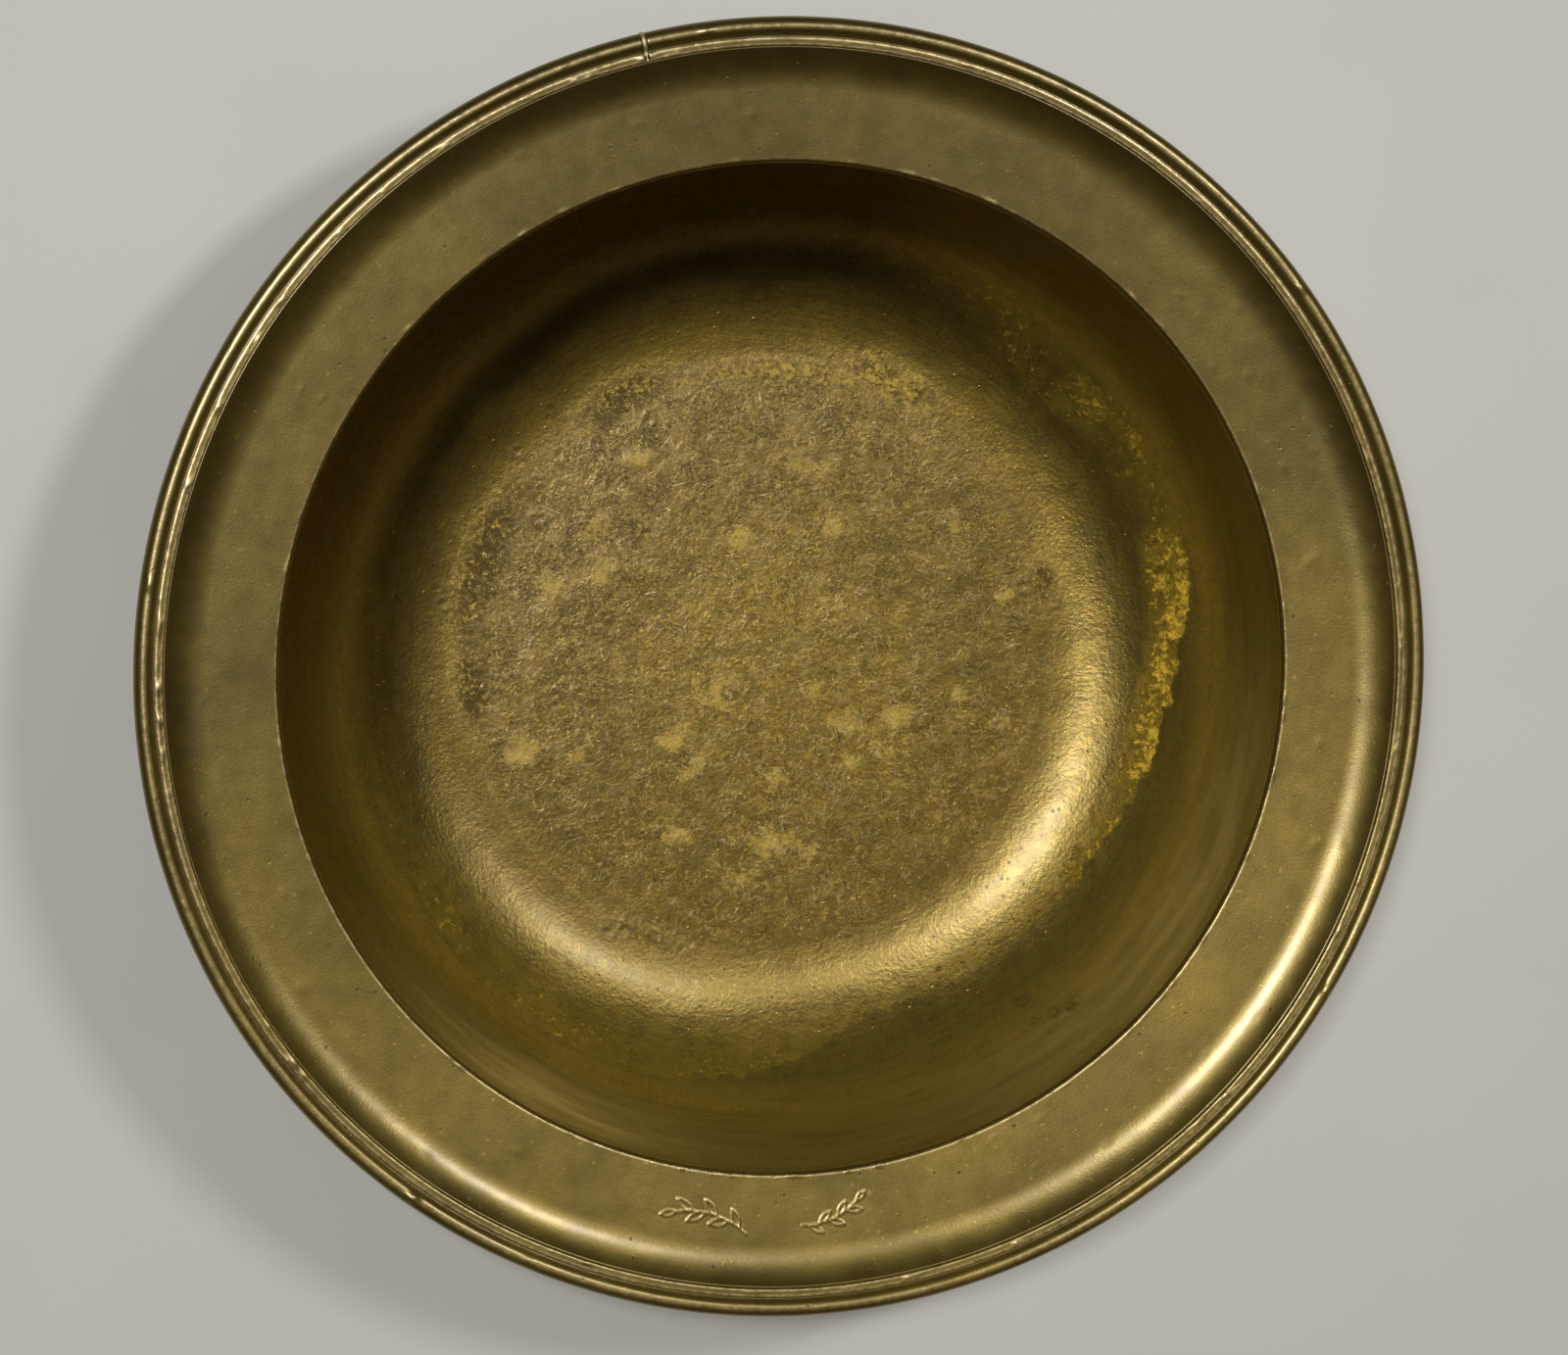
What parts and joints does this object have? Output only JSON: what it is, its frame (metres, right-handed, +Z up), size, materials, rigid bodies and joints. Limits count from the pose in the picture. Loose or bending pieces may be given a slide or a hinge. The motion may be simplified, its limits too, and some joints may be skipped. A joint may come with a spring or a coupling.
{
  "type": "shaving bowl",
  "caption": "Round deep bowl with a broad flat rim, a reeded and beaded edge and a low foot ring, made in aged pewter for holding warm shaving water and lather.",
  "frame": {"origin": "middle of the foot ring, on the table", "axes": "+Z up along the bowl's turning axis; -Y towards the engraved ornament on the rim; +X to the right of it"},
  "size_m": [0.28, 0.28, 0.056],
  "materials": {
    "pewter_body": "aged cast pewter, olive-brown patina, pitted and crusted inside",
    "pewter_rim": "aged turned pewter, satin, olive-brown patina",
    "pewter_foot": "aged turned pewter, rubbed where it stands",
    "solder": "tarnished soft solder"
  },
  "bodies": {
    "root": {"bowl_body": "pewter_body", "rim_flange": "pewter_rim", "edge_moulding": "pewter_rim", "edge_joint_solder": "solder", "foot_ring": "pewter_foot", "rim_solder_seam": "solder", "edge_solder_seam": "solder", "foot_solder_seam": "solder"}
  },
  "joints": []
}
